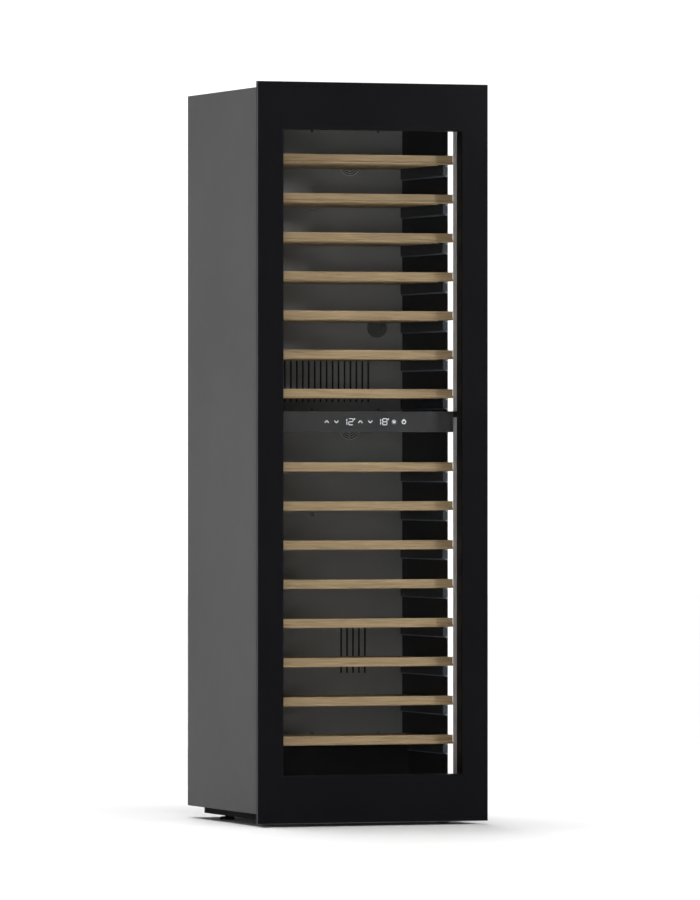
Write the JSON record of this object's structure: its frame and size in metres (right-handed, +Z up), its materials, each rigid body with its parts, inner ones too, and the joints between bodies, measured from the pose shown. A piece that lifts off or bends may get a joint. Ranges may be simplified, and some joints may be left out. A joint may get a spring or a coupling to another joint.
{
  "type": "wine cooler",
  "caption": "Tall built-in wine cooler with two cooling zones, pull-out wooden shelves and a handle-less glass door hinged on the right.",
  "frame": {"origin": "on the floor, under the centre of the whole box", "axes": "+Z up, the door faces -Y, +X to the right seen from the front"},
  "size_m": [0.595, 0.588, 1.806],
  "materials": {
    "casing_paint": "satin",
    "rear_sheet": "satin",
    "plinth_paint": "satin",
    "frame_plastic": "matte",
    "liner_plastic": "matte",
    "foam": "matte",
    "duct_sheet": "satin",
    "coil_metal": "satin",
    "fan_plastic": "satin",
    "compressor_paint": "satin",
    "tray_plastic": "satin",
    "inlet_plastic": "satin",
    "control_plastic": "satin",
    "touch_glass": "gloss",
    "light_diffuser": "satin",
    "profile_metal": "satin",
    "runner_steel": "satin",
    "oak": "satin",
    "door_glass": "gloss",
    "inner_glass": "gloss",
    "edge_metal": "satin",
    "gasket_rubber": "matte",
    "hinge_steel": "satin",
    "foot_plastic": "matte",
    "sensor_plastic": "satin",
    "filter_fabric": "matte",
    "screw_steel": "satin"
  },
  "bodies": {
    "cabinet": {"air_sensors": "sensor_plastic", "base_tray": "rear_sheet", "casing_back": "rear_sheet", "casing_left": "casing_paint", "casing_right": "casing_paint", "casing_top": "casing_paint", "charcoal_filter": "filter_fabric", "compressor": "compressor_paint", "compressor_cover": "rear_sheet", "condenser": "coil_metal", "control_glass": "touch_glass", "control_housing": "control_plastic", "drip_tray": "tray_plastic", "duct_panel_lower": "duct_sheet", "duct_panel_upper": "duct_sheet", "evaporators": "coil_metal", "fan_motors": "fan_plastic", "floor_rack": "oak", "front_frame": "frame_plastic", "hinge_brackets": "hinge_steel", "insulation": "foam", "light_profiles": "profile_metal", "light_strips": "light_diffuser", "liner": "liner_plastic", "mains_inlet": "inlet_plastic", "panel_screws": "screw_steel", "plinth_channel": "plinth_paint", "power_box": "tray_plastic", "shelf_runners": "runner_steel", "zone_divider": "liner_plastic"},
    "door": {"door_glass": "door_glass", "door_edge_trim": "edge_metal", "door_frame": "frame_plastic", "glass_spacer": "frame_plastic", "door_inner_pane": "inner_glass", "door_gasket": "gasket_rubber"},
    "shelf_01_body": {"shelf_01": "oak"},
    "shelf_02_body": {"shelf_02": "oak"},
    "shelf_03_body": {"shelf_03": "oak"},
    "shelf_04_body": {"shelf_04": "oak"},
    "shelf_05_body": {"shelf_05": "oak"},
    "shelf_06_body": {"shelf_06": "oak"},
    "shelf_07_body": {"shelf_07": "oak"},
    "shelf_08_body": {"shelf_08": "oak"},
    "shelf_09_body": {"shelf_09": "oak"},
    "shelf_10_body": {"shelf_10": "oak"},
    "shelf_11_body": {"shelf_11": "oak"},
    "shelf_12_body": {"shelf_12": "oak"},
    "shelf_13_body": {"shelf_13": "oak"},
    "shelf_14_body": {"shelf_14": "oak"},
    "shelf_15_body": {"shelf_15": "oak"},
    "fan_upper_left_body": {"fan_upper_left": "fan_plastic"},
    "fan_upper_right_body": {"fan_upper_right": "fan_plastic"},
    "fan_lower_left_body": {"fan_lower_left": "fan_plastic"},
    "fan_lower_right_body": {"fan_lower_right": "fan_plastic"},
    "foot_front_left_body": {"foot_front_left": "foot_plastic"},
    "foot_front_right_body": {"foot_front_right": "foot_plastic"},
    "foot_rear_left_body": {"foot_rear_left": "foot_plastic"},
    "foot_rear_right_body": {"foot_rear_right": "foot_plastic"},
    "condenser_fan_body": {"condenser_fan": "fan_plastic"}
  },
  "joints": [
    {"name": "door_hinge", "type": "hinge", "parent": "cabinet", "child": "door", "pos_m": [0.272, -0.276, 0.9], "axis": [0, 0, 1], "range_deg": [0, 110]},
    {"name": "shelf_01_slide", "type": "slide", "parent": "cabinet", "child": "shelf_01_body", "axis": [0, -1, 0], "range_m": [0, 0.018]},
    {"name": "shelf_02_slide", "type": "slide", "parent": "cabinet", "child": "shelf_02_body", "axis": [0, -1, 0], "range_m": [0, 0.018]},
    {"name": "shelf_03_slide", "type": "slide", "parent": "cabinet", "child": "shelf_03_body", "axis": [0, -1, 0], "range_m": [0, 0.018]},
    {"name": "shelf_04_slide", "type": "slide", "parent": "cabinet", "child": "shelf_04_body", "axis": [0, -1, 0], "range_m": [0, 0.018]},
    {"name": "shelf_05_slide", "type": "slide", "parent": "cabinet", "child": "shelf_05_body", "axis": [0, -1, 0], "range_m": [0, 0.018]},
    {"name": "shelf_06_slide", "type": "slide", "parent": "cabinet", "child": "shelf_06_body", "axis": [0, -1, 0], "range_m": [0, 0.018]},
    {"name": "shelf_07_slide", "type": "slide", "parent": "cabinet", "child": "shelf_07_body", "axis": [0, -1, 0], "range_m": [0, 0.018]},
    {"name": "shelf_08_slide", "type": "slide", "parent": "cabinet", "child": "shelf_08_body", "axis": [0, -1, 0], "range_m": [0, 0.018]},
    {"name": "shelf_09_slide", "type": "slide", "parent": "cabinet", "child": "shelf_09_body", "axis": [0, -1, 0], "range_m": [0, 0.018]},
    {"name": "shelf_10_slide", "type": "slide", "parent": "cabinet", "child": "shelf_10_body", "axis": [0, -1, 0], "range_m": [0, 0.018]},
    {"name": "shelf_11_slide", "type": "slide", "parent": "cabinet", "child": "shelf_11_body", "axis": [0, -1, 0], "range_m": [0, 0.018]},
    {"name": "shelf_12_slide", "type": "slide", "parent": "cabinet", "child": "shelf_12_body", "axis": [0, -1, 0], "range_m": [0, 0.018]},
    {"name": "shelf_13_slide", "type": "slide", "parent": "cabinet", "child": "shelf_13_body", "axis": [0, -1, 0], "range_m": [0, 0.018]},
    {"name": "shelf_14_slide", "type": "slide", "parent": "cabinet", "child": "shelf_14_body", "axis": [0, -1, 0], "range_m": [0, 0.018]},
    {"name": "shelf_15_slide", "type": "slide", "parent": "cabinet", "child": "shelf_15_body", "axis": [0, -1, 0], "range_m": [0, 0.018]},
    {"name": "fan_upper_left_spin", "type": "hinge", "parent": "cabinet", "child": "fan_upper_left_body", "pos_m": [-0.1, 0.162, 1.623], "axis": [0, 1, 0], "continuous": true},
    {"name": "fan_upper_right_spin", "type": "hinge", "parent": "cabinet", "child": "fan_upper_right_body", "pos_m": [0.1, 0.162, 1.623], "axis": [0, 1, 0], "continuous": true},
    {"name": "fan_lower_left_spin", "type": "hinge", "parent": "cabinet", "child": "fan_lower_left_body", "pos_m": [-0.1, 0.162, 0.967], "axis": [0, 1, 0], "continuous": true},
    {"name": "fan_lower_right_spin", "type": "hinge", "parent": "cabinet", "child": "fan_lower_right_body", "pos_m": [0.1, 0.162, 0.967], "axis": [0, 1, 0], "continuous": true},
    {"name": "condenser_fan_spin", "type": "hinge", "parent": "cabinet", "child": "condenser_fan_body", "pos_m": [0.11, 0.181, 0.0875], "axis": [0, 1, 0], "continuous": true},
    {"name": "foot_front_left_thread", "type": "slide", "parent": "cabinet", "child": "foot_front_left_body", "axis": [0, 0, -1], "range_m": [0, 0.012]},
    {"name": "foot_front_right_thread", "type": "slide", "parent": "cabinet", "child": "foot_front_right_body", "axis": [0, 0, -1], "range_m": [0, 0.012]},
    {"name": "foot_rear_left_thread", "type": "slide", "parent": "cabinet", "child": "foot_rear_left_body", "axis": [0, 0, -1], "range_m": [0, 0.012]},
    {"name": "foot_rear_right_thread", "type": "slide", "parent": "cabinet", "child": "foot_rear_right_body", "axis": [0, 0, -1], "range_m": [0, 0.012]}
  ]
}
